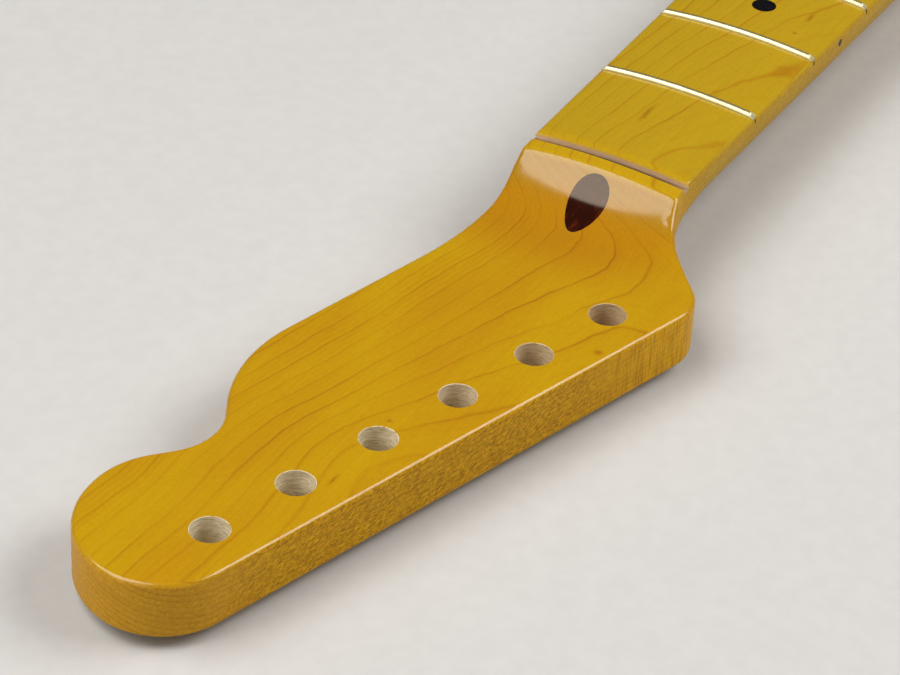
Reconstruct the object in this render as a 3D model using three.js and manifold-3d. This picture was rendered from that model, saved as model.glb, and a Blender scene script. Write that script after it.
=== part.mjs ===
// Neck of a bolt-on electric guitar: one piece of maple, 21 frets and six tuner holes in line.
// All lengths are millimetres. Inside the neck group x runs from the nut towards the headstock's
// tip, y towards the tuner side, and z up, from the crown of the fretboard.

import * as THREE from 'three';
import { mergeVertices } from 'three/addons/utils/BufferGeometryUtils.js';
import Module from 'manifold-3d';

const wasm = await Module();
wasm.setup();

const degrees = THREE.MathUtils.degToRad;

// Playing length and frets
const scaleLength = 647.7; // nut to bridge
const fretCount = 21;
const notesPerOctave = 12;
const fretCrownWidth = 2.1;
const fretCrownHeight = 1.1;
const fretTangWidth = 0.56;
const fretTangDepth = 1.5; // below the fretboard
const fretEndInset = 0.35; // fret end to the neck's side
const fretEndLeanShare = 0.7; // how far a fret's end leans in, for its height

// Fretboard and shaft
const nutWidth = 42;
const heelWidth = 56;
const heelPastFrets = 9.86; // last fret to the end of the heel
const boardRadius = 184; // crown across the strings
const boardEdgeRound = 1;
const boardSide = 1.6; // straight side below the rolled edge
const firstFretDepth = 20.8; // crown to back at fret 1
const octaveDepth = 23.4; // crown to back at fret 12

// Heel
const heelDepth = 25.4; // crown to the heel's flat back
const heelFlat = 76; // length of the flat back
const heelRamp = 40; // length of the rise from the flat back to the shaft
const heelEdgeRound = 0.8;
const screwSpanAlong = 51; // heel screws, centre to centre
const screwSpanAcross = 38;
const screwHoleDiameter = 3.2;
const screwHoleDepth = 19;

// Nut slot, lip and scoop
const nutSlotWidth = 3.2;
const nutSlotDepth = 3; // crown to its flat floor
const lipLength = 3.9;
const lipDrop = 0.25; // below the fretboard
const scoopRadius = 30;

// Headstock
const headLength = 190; // nut to tip
const headThickness = 14.3;
const headDrop = 8; // crown to the headstock's face
const headEdgeRound = 1.2;
const headBlendFrom = 17; // where the shaft's round back begins to flatten, before the nut
const headBlend = 57;

// The headstock's plan, treble side first: straight legs whose corners are rounded. Each corner is
// its place along, its place across and its radius, as shares of the headstock's length, and the
// two beside the nut lie across it as shares of the nut's width.
const trebleShoulderShares = [0.0585, -0.4931, 0.1262];
const headCornerShares = [
  [0.1753, -0.0903, 0.5224], // waist
  [0.587, -0.1974, 0.2212], // crest
  [0.7347, -0.1181, 0.0795], // notch
  [0.8297, -0.2017, 0.1094], // ball, beside the notch
  [0.9706, -0.1972, 0.1262], // ball, beside the tip
  [1.0219, -0.0195, 0.0932], // tip, where the tuners' edge begins
  [0.1871, 0.2236, 0.0675], // horn
];
const bassFlareShares = [0.0614, 0.5064, 0.1661];

// Tuner holes, in a row beside the straight edge between the horn and the tip
const tunerCount = 6;
const tunerHoleDiameter = 8.73;
const tunerPitch = 24.1;
const tunerInset = 11.82; // straight edge to the row
const tunerStart = 19.3; // horn's corner to the first hole, along the edge

// Position dots
const dotFrets = [3, 5, 7, 9, 12, 15, 17, 19, 21];
const faceDotDiameter = 6.35;
const faceDotDepth = 1.8;
const faceOctaveSpan = 20; // between the two dots at the octave
const sideDotDiameter = 2;
const sideDotDepth = 2;
const sideDotDrop = 1.5; // rolled edge to the dot's centre
const sideOctaveSpan = 9;

// Truss rod, the nut and washer at its heel end, and its anchor at the other
const rodDiameter = 4.76;
const rodDip = 14; // crown to the rod where it lies deepest
const rodDipShares = [[0.2, 0.35], [0.4, 0.85], [0.6, 1], [0.85, 1]]; // along the stripe, of the dip
const rodNutDrop = 11; // crown to the rod nut's axis
const rodNutDiameter = 7.9;
const rodNutLength = 12.7;
const rodNutRecess = 1; // heel's end to the rod nut
const rodNutRoom = 0.85; // around the rod nut in its bore
const rodNutChamfer = 0.6;
const rodNutSlotWidth = 1.4;
const rodNutSlotDepth = 2.2;
const rodThreadLength = 9; // of the rod inside its nut
const washerThickness = 1.2;
const anchorDiameter = 7.9;
const anchorLength = 9;
const rodEndFromNut = 5;
const rodEndDrop = 9; // crown to the rod's end

// The plug that closes the rod's bore in the scoop, and the stripe that closes its channel
const plugDiameter = 9.525;
const plugLength = 22; // its inner end to the point below
const plugFromNut = 20.3; // nut to a point on its axis
const plugOffset = 2; // of that point towards the tuners
const plugDrop = 4; // crown to that point
const plugRise = degrees(10);
const plugYaw = degrees(6);
const stripeWidth = 6.35;
const stripeStart = 24; // nut to the stripe's near end
const stripeToHeel = 93; // the stripe's far end to the end of the heel

// Fits and facets
const fitGap = 0.3; // between pieces that touch
const overrun = 3; // of a cut past the face that it opens
const planSpacing = 0.8;
const stationTurn = degrees(10);
const longestStation = 34;
const shortestStation = 1.1;
const topStrips = 8;
const backStrips = 8;
const rodSteps = 24;
const holeSides = 20;
const smallSides = 12;

const fretPlace = (n) => -scaleLength * (1 - 2 ** (-n / notesPerOctave));
const headFace = -headDrop;
const headBack = headFace - headThickness;
const lipFront = nutSlotWidth + lipLength;
const heelEnd = fretPlace(fretCount) - heelPastFrets;
const heelFront = heelEnd + heelFlat;
const heelMiddle = heelEnd + heelFlat / 2;
const stripeEnd = -heelEnd - stripeToHeel; // from the nut
const mix = THREE.MathUtils.lerp;
const smooth = THREE.MathUtils.smoothstep;

const maple = { color: 0xc99a1c, roughness: 0.25, metalness: 0 };
const walnut = { color: 0x2a0f05, roughness: 0.3, metalness: 0 };
const nickelSilver = { color: 0xdcd8c0, roughness: 0.25, metalness: 1 };
const blackDot = { color: 0x0c0b10, roughness: 0.3, metalness: 0 };
const steel = { color: 0x8d8f92, roughness: 0.35, metalness: 1 };

const neck = new THREE.Group();
neck.position.set(-heelMiddle, 0, heelDepth);

// Solids from geometries, and back

function solidOf(geometry) {
  const bare = geometry.index ? geometry.toNonIndexed() : geometry.clone();
  bare.deleteAttribute('normal');
  bare.deleteAttribute('uv');
  const merged = mergeVertices(bare);
  return new wasm.Manifold(new wasm.Mesh({
    numProp: 3,
    vertProperties: Float32Array.from(merged.attributes.position.array),
    triVerts: Uint32Array.from(merged.index.array),
  }));
}

function geometryOf(solid) {
  const mesh = solid.getMesh();
  const geometry = new THREE.BufferGeometry();
  geometry.setAttribute('position', new THREE.BufferAttribute(Float32Array.from(mesh.vertProperties), 3));
  geometry.setIndex(new THREE.BufferAttribute(Uint32Array.from(mesh.triVerts), 1));
  geometry.computeVertexNormals();
  return geometry;
}

function addPiece(name, solid, finish) {
  const piece = new THREE.Mesh(geometryOf(solid), new THREE.MeshStandardMaterial(finish));
  piece.name = name;
  neck.add(piece);
}

// A solid through closed rings of points, with flat ends. Each point also has its place u, v in
// its ring's own flat view.
function loft(rings) {
  const count = rings[0].length;
  const triangles = [];
  for (let i = 0; i < rings.length - 1; i += 1) {
    for (let j = 0; j < count; j += 1) {
      const a = i * count + j;
      const b = i * count + ((j + 1) % count);
      triangles.push(a, b, b + count, a, b + count, a + count);
    }
  }
  const addEnd = (ring, first, turned) => {
    const flat = ring.map((p) => new THREE.Vector2(p.u, p.v));
    for (const [a, b, c] of THREE.ShapeUtils.triangulateShape(flat, [])) {
      triangles.push(first + a, first + (turned ? c : b), first + (turned ? b : c));
    }
  };
  addEnd(rings[0], 0, true);
  addEnd(rings.at(-1), (rings.length - 1) * count, false);
  const geometry = new THREE.BufferGeometry();
  const positions = rings.flat().flatMap((p) => [p.x, p.y, p.z]);
  geometry.setAttribute('position', new THREE.Float32BufferAttribute(positions, 3));
  geometry.setIndex(triangles);
  return solidOf(geometry);
}

// Bars and turned pieces start at a point and run in a direction
const alongNeck = new THREE.Vector3(1, 0, 0);
const acrossNeck = new THREE.Vector3(0, 1, 0);
const upNeck = new THREE.Vector3(0, 0, 1);
const point = (x, y, z) => new THREE.Vector3(x, y, z);

function aimed(geometry, start, direction) {
  const turn = new THREE.Quaternion().setFromUnitVectors(acrossNeck, direction);
  return solidOf(geometry.applyQuaternion(turn).translate(start.x, start.y, start.z));
}

function bar(diameter, length, start, direction, sides = smallSides) {
  const geometry = new THREE.CylinderGeometry(diameter / 2, diameter / 2, length, sides);
  return aimed(geometry.translate(0, length / 2, 0), start, direction);
}

function turned(profile, start, direction) {
  const points = profile.map(([radius, along]) => new THREE.Vector2(radius, along));
  return aimed(new THREE.LatheGeometry(points, holeSides), start, direction);
}

function ring(outer, inner, length, start, direction) {
  const [wide, narrow] = [outer / 2, inner / 2];
  return turned([[narrow, 0], [wide, 0], [wide, length], [narrow, length], [narrow, 0]], start, direction);
}

// Plan of the neck

const besideNut = ([along, across, radius]) => (
  { x: along * headLength, y: across * nutWidth, radius: radius * headLength });
const onHead = ([along, across, radius]) => (
  { x: along * headLength, y: across * headLength, radius: radius * headLength });
const headCorners = headCornerShares.map(onHead);
const corners = [
  { x: 0, y: -nutWidth / 2, radius: 0 },
  besideNut(trebleShoulderShares),
  ...headCorners,
  besideNut(bassFlareShares),
  { x: 0, y: nutWidth / 2, radius: 0 },
];

// Straight legs from corner to corner, rounded as far as the legs have room for
function roundedPath() {
  const places = corners.map((c) => new THREE.Vector2(c.x, c.y));
  const legs = places.slice(1).map((place, i) => place.clone().sub(places[i]));
  const bends = corners.map((c, i) => (
    i === 0 || i === legs.length ? 0 : legs[i - 1].angleTo(legs[i])));
  const reaches = corners.map((c, i) => c.radius * Math.tan(bends[i] / 2));
  const rooms = legs.map((leg, i) => Math.min(1, leg.length() / (reaches[i] + reaches[i + 1])));
  const path = new THREE.Path();
  path.moveTo(places[0].x, places[0].y);
  for (let i = 1; i < legs.length; i += 1) {
    const [before, after] = [legs[i - 1].clone().normalize(), legs[i].clone().normalize()];
    const reach = reaches[i] * Math.min(rooms[i - 1], rooms[i]);
    const side = Math.sign(before.cross(after));
    const start = places[i].clone().addScaledVector(before, -reach);
    const end = places[i].clone().addScaledVector(after, reach);
    const radius = reach / Math.tan(bends[i] / 2);
    const centre = start.clone().addScaledVector(new THREE.Vector2(-before.y, before.x), side * radius);
    path.lineTo(start.x, start.y);
    path.absarc(centre.x, centre.y, radius, start.sub(centre).angle(), end.sub(centre).angle(), side < 0);
  }
  path.lineTo(places.at(-1).x, places.at(-1).y);
  return path;
}

const headPath = roundedPath();
const plan = headPath.getSpacedPoints(Math.round(headPath.getLength() / planSpacing));
const tipIndex = plan.reduce((best, p, i) => (p.x > plan[best].x ? i : best), 0);
const tipPlace = plan[tipIndex].x;
const trebleSide = [new THREE.Vector2(heelEnd, -heelWidth / 2), ...plan.slice(0, tipIndex + 1)];
const bassSide = [new THREE.Vector2(heelEnd, heelWidth / 2), ...plan.slice(tipIndex).reverse()];
const outline = [...trebleSide, ...[...bassSide].reverse()];

function sideAt(side, x) {
  const next = Math.max(1, side.findIndex((p) => p.x >= x));
  const [a, b] = [side[next - 1], side[next]];
  return mix(a.y, b.y, (x - a.x) / (b.x - a.x));
}

function edgeDistance(x, y) {
  let nearest = Infinity;
  for (let i = 1; i < outline.length; i += 1) {
    const [a, b] = [outline[i - 1], outline[i]];
    const [dx, dy] = [b.x - a.x, b.y - a.y];
    const lengthSquared = dx * dx + dy * dy;
    const share = lengthSquared ? ((x - a.x) * dx + (y - a.y) * dy) / lengthSquared : 0;
    const along = THREE.MathUtils.clamp(share, 0, 1);
    nearest = Math.min(nearest, Math.hypot(x - a.x - along * dx, y - a.y - along * dy));
  }
  return nearest;
}

// Heights of the neck's top and back

// How far an edge rounded to a radius has dropped, at a distance in from the outline
function roundDrop(distance, radius) {
  const left = Math.max(radius - distance, 0);
  return radius - Math.sqrt(radius ** 2 - left ** 2);
}

const boardHeight = (y) => Math.sqrt(boardRadius ** 2 - y ** 2) - boardRadius;
const topRound = (x) => mix(boardEdgeRound, headEdgeRound, smooth(x, 0, lipFront));
const scoopRise = headDrop - lipDrop;
const scoopRun = Math.sqrt(2 * scoopRadius * scoopRise - scoopRise ** 2);

// Fretboard, then the lip past the nut, then the scoop's arc down to the headstock's face
function faceHeight(x, y) {
  if (x <= 0) return boardHeight(y);
  const lip = boardHeight(y) - lipDrop;
  const toGo = THREE.MathUtils.clamp(scoopRun + lipFront - x, 0, scoopRun);
  const share = (scoopRadius - Math.sqrt(scoopRadius ** 2 - toGo ** 2)) / scoopRise;
  return mix(headFace, lip, share);
}

const topHeight = (x, y) => faceHeight(x, y) - roundDrop(edgeDistance(x, y), topRound(x));

function shaftDepth(x) {
  const share = (Math.min(x, 0) - fretPlace(1)) / (fretPlace(notesPerOctave) - fretPlace(1));
  return mix(firstFretDepth, octaveDepth, share);
}

// The shaft's back is half an ellipse. It becomes the heel's flat block and the headstock's back.
function backHeight(x, y, treble, bass) {
  const half = (bass - treble) / 2;
  const share = Math.min(Math.abs(y - (bass + treble) / 2) / half, 1);
  const side = boardHeight(Math.min(half, heelWidth / 2)) - boardEdgeRound - boardSide;
  const shaft = side - (shaftDepth(x) + side) * Math.sqrt(1 - share ** 2);
  const distance = edgeDistance(x, y);
  const heel = -heelDepth + roundDrop(distance, heelEdgeRound);
  const head = headBack + roundDrop(distance, headEdgeRound);
  const withHeel = mix(heel, shaft, smooth(x, heelFront, heelFront + heelRamp));
  return mix(withHeel, head, smooth(x, -headBlendFrom, headBlend - headBlendFrom));
}

// Places along the neck for its rings: where its form changes, and closer where its outline turns
function ringPlaces() {
  const places = [heelEnd, heelFront, 0, nutSlotWidth, lipFront];
  const spread = (start, length, steps) => {
    for (let i = 1; i <= steps; i += 1) places.push(start + (length * i) / steps);
  };
  spread(heelFront, heelRamp, topStrips);
  spread(lipFront, scoopRun, topStrips);
  spread(-headBlendFrom, headBlendFrom, topStrips / 2);
  for (let i = 1; i <= topStrips; i += 1) {
    places.push(tipPlace - headEdgeRound * 2 * ((i - 0.5) / topStrips) ** 2);
  }
  for (const side of [trebleSide, bassSide]) {
    let heading = 0;
    for (let i = 1; i < side.length; i += 1) {
      const next = side[i].clone().sub(side[i - 1]).angle();
      const turn = Math.abs(Math.sin((next - heading) / 2)) * 2;
      const isNew = places.every((place) => Math.abs(place - side[i - 1].x) > shortestStation);
      if (turn > stationTurn && isNew) {
        places.push(side[i - 1].x);
        heading = next;
      }
    }
  }
  places.sort((a, b) => a - b);
  return places.flatMap((place, i) => {
    const from = places[Math.max(i - 1, 0)];
    const steps = Math.max(1, Math.ceil((place - from) / longestStation));
    return Array.from({ length: steps }, (_, k) => mix(from, place, (k + 1) / steps));
  });
}

function neckRing(x) {
  const [treble, bass] = [sideAt(trebleSide, x), sideAt(bassSide, x)];
  const across = (round, strips) => {
    const inset = Math.min(round, (bass - treble) / 4);
    const rolled = [0, inset * (1 - Math.SQRT1_2), inset];
    const inner = Array.from({ length: strips - 1 }, (_, i) => (
      mix(treble + inset, bass - inset, (1 - Math.cos((Math.PI * (i + 1)) / strips)) / 2)));
    return [...rolled.map((d) => treble + d), ...inner, ...rolled.reverse().map((d) => bass - d)];
  };
  const top = across(topRound(x), topStrips).map((y) => [y, topHeight(x, y)]);
  const back = across(headEdgeRound, backStrips).map((y) => [y, backHeight(x, y, treble, bass)]);
  return [...back, ...top.reverse()].map(([y, z]) => ({ x, y, z, u: y, v: z }));
}

const blank = loft(ringPlaces().map(neckRing));
const cuts = [];

// Frets: a domed crown on a tang, bent to the fretboard, in a slot sawn right across

function bentAcross(x, section, halfLength, leanShare) {
  const steps = topStrips - 2;
  return loft(Array.from({ length: steps + 1 }, (_, i) => (
    section.map(([along, up]) => {
      const y = (1 - (2 * i) / steps) * (halfLength - Math.max(up, 0) * leanShare);
      return { x: x + along, y, z: boardHeight(y) + up, u: along, v: up };
    }))));
}

const crownRise = fretCrownHeight - fitGap;
const crownArc = new THREE.EllipseCurve(0, fitGap, fretCrownWidth / 2, crownRise, 0, Math.PI);
const fretSection = [
  ...crownArc.getPoints(topStrips / 2).map((p) => [p.x, p.y]),
  [-fretTangWidth / 2, fitGap],
  [-fretTangWidth / 2, -fretTangDepth],
  [fretTangWidth / 2, -fretTangDepth],
  [fretTangWidth / 2, fitGap],
];
const slotHalf = fretTangWidth / 2 + fitGap;
const slotFloor = -fretTangDepth - fitGap;
const slotSection = [
  [slotHalf, overrun],
  [-slotHalf, overrun],
  [-slotHalf, slotFloor],
  [slotHalf, slotFloor],
];
const numbered = (name, n, suffix = '') => `${name}_${String(n).padStart(2, '0')}${suffix}`;

for (let n = 1; n <= fretCount; n += 1) {
  const x = fretPlace(n);
  const half = sideAt(bassSide, x);
  const fret = bentAcross(x, fretSection, half - fretEndInset, fretEndLeanShare);
  cuts.push(bentAcross(x, slotSection, half + overrun, 0));
  addPiece(numbered('fret', n), fret, nickelSilver);
}

// Position dots, flush with the wood: one each, and two at the octave

function addDot(name, diameter, depth, mouth, outward) {
  const plugFrom = (width, deep) => (
    bar(width, deep + overrun, mouth.clone().addScaledVector(outward, -deep), outward));
  cuts.push(plugFrom(diameter + 2 * fitGap, depth + fitGap));
  addPiece(name, plugFrom(diameter, depth).intersect(blank), blackDot);
}

for (const n of dotFrets.filter((fret) => fret <= fretCount)) {
  const x = (fretPlace(n - 1) + fretPlace(n)) / 2;
  const side = sideAt(bassSide, x);
  const sideHeight = boardHeight(side) - boardEdgeRound - sideDotDrop;
  const pair = n % notesPerOctave ? [['', 0]] : [['a', -0.5], ['b', 0.5]];
  for (const [suffix, share] of pair) {
    const y = share * faceOctaveSpan;
    const faceMouth = point(x, y, boardHeight(y));
    const sideMouth = point(x + share * sideOctaveSpan, side, sideHeight);
    addDot(numbered('face_dot', n, suffix), faceDotDiameter, faceDotDepth, faceMouth, upNeck);
    addDot(numbered('side_dot', n, suffix), sideDotDiameter, sideDotDepth, sideMouth, acrossNeck);
  }
}

// Truss rod: level through the heel, dipping along the shaft, and rising to its end in the anchor

const rodRise = point(Math.cos(plugRise), 0, Math.sin(plugRise));
const rodNutInner = heelEnd + rodNutRecess + rodNutLength;
const rodStart = rodNutInner - rodThreadLength;
const rodEnd = point(-rodEndFromNut, 0, -rodEndDrop);
const beforeEnd = (distance) => rodEnd.clone().addScaledVector(rodRise, -distance);
const rodBore = rodDiameter + 2 * fitGap;
const channelOverlap = stripeStart + overrun - rodEndFromNut;
const rodCurve = new THREE.CatmullRomCurve3([
  point(rodStart, 0, -rodNutDrop),
  point(mix(rodStart, -stripeEnd, 0.5), 0, -rodNutDrop),
  point(-stripeEnd, 0, -rodNutDrop),
  ...rodDipShares.map(([along, deep]) => (
    point(mix(-stripeEnd, -stripeStart, along), 0, mix(-rodNutDrop, -rodDip, deep)))),
  beforeEnd(channelOverlap),
  beforeEnd(channelOverlap * 2 / 3),
  beforeEnd(channelOverlap / 3),
  rodEnd,
]);
const rodSection = new THREE.Shape().absarc(0, 0, rodDiameter / 2, 0, 2 * Math.PI);
const rodShape = new THREE.ExtrudeGeometry(rodSection, {
  steps: rodSteps, extrudePath: rodCurve, curveSegments: smallSides, bevelEnabled: false,
});
addPiece('truss_rod', solidOf(rodShape), steel);
const levelBore = -stripeEnd + overrun - rodNutInner;
cuts.push(bar(rodBore, levelBore, point(rodNutInner, 0, -rodNutDrop), alongNeck, holeSides));
cuts.push(bar(rodBore, channelOverlap, beforeEnd(channelOverlap), rodRise, holeSides));

// The anchor grips the rod's end, at the bottom of the plug's bore
const anchorStart = beforeEnd(anchorLength);
addPiece('rod_anchor', ring(anchorDiameter, rodBore, anchorLength, anchorStart, rodRise), steel);
const anchorSeat = beforeEnd(anchorLength + fitGap);

// The washer and the slotted nut bear on the end of the heel's bore
const nutBore = rodNutDiameter + 2 * rodNutRoom;
const washerStart = point(rodNutInner + fitGap, 0, -rodNutDrop);
const nutStart = point(heelEnd + rodNutRecess, 0, -rodNutDrop);
const nutBoreLength = rodNutRecess + rodNutLength + washerThickness + 2 * fitGap;
const nutBoreStart = point(heelEnd - overrun, 0, -rodNutDrop);
addPiece('rod_washer', ring(nutBore - 2 * fitGap, rodBore, washerThickness, washerStart, alongNeck), steel);
cuts.push(bar(nutBore, nutBoreLength + overrun, nutBoreStart, alongNeck, holeSides));

const threadEnd = rodNutLength - rodThreadLength - fitGap;
const nutTurned = turned([
  [0, 0],
  [rodNutDiameter / 2 - rodNutChamfer, 0],
  [rodNutDiameter / 2, rodNutChamfer],
  [rodNutDiameter / 2, rodNutLength],
  [rodBore / 2, rodNutLength],
  [rodBore / 2, threadEnd],
  [0, threadEnd],
], nutStart, alongNeck);
const slotLength = rodNutDiameter + overrun;
const crossSlots = [[rodNutSlotWidth, slotLength], [slotLength, rodNutSlotWidth]].map(([wide, high]) => (
  solidOf(new THREE.BoxGeometry(2 * rodNutSlotDepth, wide, high).translate(...nutStart.toArray()))));
addPiece('truss_rod_nut', crossSlots.reduce((nut, slot) => nut.subtract(slot), nutTurned), steel);

// Nut slot, with a flat floor, open at both sides
const nutSlotHeight = nutSlotDepth + overrun;
const nutSlotBox = new THREE.BoxGeometry(nutSlotWidth, nutWidth * 2, nutSlotHeight);
const nutSlot = solidOf(nutSlotBox.translate(nutSlotWidth / 2, 0, nutSlotHeight / 2 - nutSlotDepth));
cuts.push(nutSlot);

// Plug: a dowel driven into the rod's bore, then cut flush with the scoop and the nut slot
const plugAcross = Math.cos(plugRise) * Math.sin(plugYaw);
const plugDirection = point(Math.cos(plugRise) * Math.cos(plugYaw), plugAcross, Math.sin(plugRise));
const plugPlace = point(plugFromNut, plugOffset, -plugDrop);
const plugInner = plugPlace.clone().addScaledVector(plugDirection, -plugLength);
const plugBoreStart = plugInner.clone().addScaledVector(plugDirection, -fitGap);
const plugReach = plugLength + plugDiameter;
const dowel = bar(plugDiameter, plugReach, plugInner, plugDirection, holeSides);
addPiece('headstock_plug', dowel.intersect(blank).subtract(nutSlot), walnut);
cuts.push(bar(plugDiameter + 2 * fitGap, plugReach + overrun, plugBoreStart, plugDirection, holeSides));
const anchorBoreLength = anchorSeat.distanceTo(plugInner);
cuts.push(bar(anchorDiameter + 2 * fitGap, anchorBoreLength, anchorSeat, rodRise, holeSides));

// Stripe: a strip with round ends, let into the back under the rod
function channelSolid(margin, lift) {
  const [halfWidth, low] = [stripeWidth / 2, -heelDepth - overrun];
  const stadium = new THREE.Shape();
  stadium.absarc(-stripeStart - halfWidth, 0, halfWidth + margin, -Math.PI / 2, Math.PI / 2);
  stadium.absarc(-stripeEnd + halfWidth, 0, halfWidth + margin, Math.PI / 2, Math.PI * 1.5);
  const flat = { bevelEnabled: false, curveSegments: smallSides / 2 };
  const prism = new THREE.ExtrudeGeometry(stadium, { ...flat, depth: -low });
  const top = rodCurve.getSpacedPoints(rodSteps).map((p) => new THREE.Vector2(p.x, p.z + lift));
  const bottom = [new THREE.Vector2(rodEnd.x, low - overrun), new THREE.Vector2(rodStart, low - overrun)];
  const sideShape = new THREE.Shape([...top, ...bottom]);
  const sideView = new THREE.ExtrudeGeometry(sideShape, { ...flat, depth: 2 * stripeWidth });
  sideView.rotateX(Math.PI / 2).translate(0, stripeWidth, 0);
  return solidOf(prism.translate(0, 0, low)).intersect(solidOf(sideView));
}

const stripe = channelSolid(0, -rodDiameter / 2 - fitGap);
addPiece('back_stripe', stripe.intersect(blank), walnut);
cuts.push(channelSolid(fitGap, rodDiameter / 2 + fitGap));

// Tuner holes, through the headstock
const [tipCorner, hornCorner] = headCorners.slice(-2).map((c) => new THREE.Vector2(c.x, c.y));
const tunerRow = tipCorner.clone().sub(hornCorner).normalize();
const inwards = new THREE.Vector2(tunerRow.y, -tunerRow.x);
for (let i = 0; i < tunerCount; i += 1) {
  const place = hornCorner.clone().addScaledVector(tunerRow, tunerStart + i * tunerPitch);
  place.addScaledVector(inwards, tunerInset);
  const start = point(place.x, place.y, headBack - overrun);
  cuts.push(bar(tunerHoleDiameter, headThickness + 2 * overrun, start, upNeck, holeSides));
}

// Pilot holes for the heel's screws
for (const along of [-0.5, 0.5]) {
  for (const across of [-0.5, 0.5]) {
    const x = heelMiddle + along * screwSpanAlong;
    const start = point(x, across * screwSpanAcross, -heelDepth - overrun);
    cuts.push(bar(screwHoleDiameter, screwHoleDepth + overrun, start, upNeck));
  }
}

addPiece('neck_body', cuts.reduce((wood, cut) => wood.subtract(cut), blank), maple);

export default neck;
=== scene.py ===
import math
from functools import partial

import bpy
import numpy as np
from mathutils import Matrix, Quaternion, Vector
from mathutils.bvhtree import BVHTree
from mathutils.geometry import delaunay_2d_cdt


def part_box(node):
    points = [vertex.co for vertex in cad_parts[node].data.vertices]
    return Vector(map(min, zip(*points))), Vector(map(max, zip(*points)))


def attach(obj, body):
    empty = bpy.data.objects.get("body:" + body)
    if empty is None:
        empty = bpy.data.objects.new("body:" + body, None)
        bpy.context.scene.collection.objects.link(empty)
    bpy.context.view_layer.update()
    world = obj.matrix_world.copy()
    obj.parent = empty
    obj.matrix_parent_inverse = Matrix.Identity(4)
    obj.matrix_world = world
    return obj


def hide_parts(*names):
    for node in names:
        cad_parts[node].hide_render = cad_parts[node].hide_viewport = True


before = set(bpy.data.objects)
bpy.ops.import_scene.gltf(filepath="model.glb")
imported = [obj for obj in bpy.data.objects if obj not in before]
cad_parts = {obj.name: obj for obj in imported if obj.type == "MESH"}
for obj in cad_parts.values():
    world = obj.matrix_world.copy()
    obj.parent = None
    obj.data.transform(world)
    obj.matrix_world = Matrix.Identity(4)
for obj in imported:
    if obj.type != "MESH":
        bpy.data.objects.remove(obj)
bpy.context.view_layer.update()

# The neck of a bolt-on electric guitar. Its own frame is in millimetres: x from the nut towards
# the headstock's tip, y towards the tuner side, z up from the crown of the fretboard.

playing = dict(scaleLength=647.7, frets=21, notes=12)

board = dict(
    nutWidth=42, heelWidth=56, heelPastFrets=9.86,
    radius=184, edgeRound=1, side=1.6,
    firstFretDepth=20.8, octaveDepth=23.4,
)

heel = dict(depth=25.4, flat=76, ramp=40, edgeRound=0.8, cornerRound=2.4)

scoop = dict(slotWidth=3.2, slotDepth=3, lipLength=3.9, lipDrop=0.25, radius=30)

head = dict(
    length=190, thickness=14.3, drop=8, edgeRound=1.2, blendFrom=17, blend=57,
    # corners of the plan: along, across and radius, as shares of the length. The first and the
    # last lie across it as shares of the nut's width.
    shoulder=(0.0585, -0.4931, 0.1262),
    corners=[
        (0.1753, -0.0903, 0.5224), (0.587, -0.1974, 0.2212), (0.7347, -0.1181, 0.0795),
        (0.8297, -0.2017, 0.1094), (0.9706, -0.1972, 0.1262), (1.0219, -0.0195, 0.0932),
        (0.1871, 0.2236, 0.0675),
    ],
    flare=(0.0614, 0.5064, 0.1661),
)

# How finely the surfaces are divided: distances in millimetres, and the angles down the rolled edge
fineness = dict(
    pathStep=0.1, planStep=0.8, shaftEdge=2.4, heelEdge=1.6, cornerPoints=7,
    headStep=1.5, shaftStep=3, scoopStep=0.8, across=1.5, fineFrom=-120, margin=0.5,
    rolls=[90, 76, 62, 48, 35, 23, 11, 0], walls=8,
    backInsets=[0, 0.03, 0.1, 0.22, 0.4, 0.65, 0.95, 1.3, 1.8, 2.5, 3.4, 4.5], heelShare=0.35,
    channelEdge=3, turnedSides=64, nutBoreSides=48, screwSides=32, leastHalf=0.01, mergeWithin=1e-6,
    offSurface=0.05, sharpAngle=32,
)


def mix(a, b, share):
    return a + (b - a) * share


def smooth(x, low, high):
    share = np.clip((x - low) / (high - low), 0, 1)
    return share * share * (3 - 2 * share)


def fretPlace(n):
    return -playing["scaleLength"] * (1 - 2 ** (-n / playing["notes"]))


heelEnd = fretPlace(playing["frets"]) - board["heelPastFrets"]
heelFront = heelEnd + heel["flat"]
headFace = -head["drop"]
headBack = headFace - head["thickness"]
lipFront = scoop["slotWidth"] + scoop["lipLength"]
scoopRise = head["drop"] - scoop["lipDrop"]
scoopRun = math.sqrt(2 * scoop["radius"] * scoopRise - scoopRise ** 2)
scoopEnd = lipFront + scoopRun

# Where the neck's own frame lies in the model, in metres: the heel's end and the fretboard's crown
bodyLow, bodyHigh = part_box("neck_body")
nutAt = np.array([bodyLow[0] - heelEnd / 1000, 0, bodyHigh[2]])


def toModel(points):
    return np.asarray(points, float) / 1000 + nutAt


def fromModel(points):
    return (np.asarray(points, float) - nutAt) * 1000


# Plan of the neck

def planCorner(corner, acrossUnit=head["length"]):
    along, across, radius = corner
    return np.array([along * head["length"], across * acrossUnit, radius * head["length"]])


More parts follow.
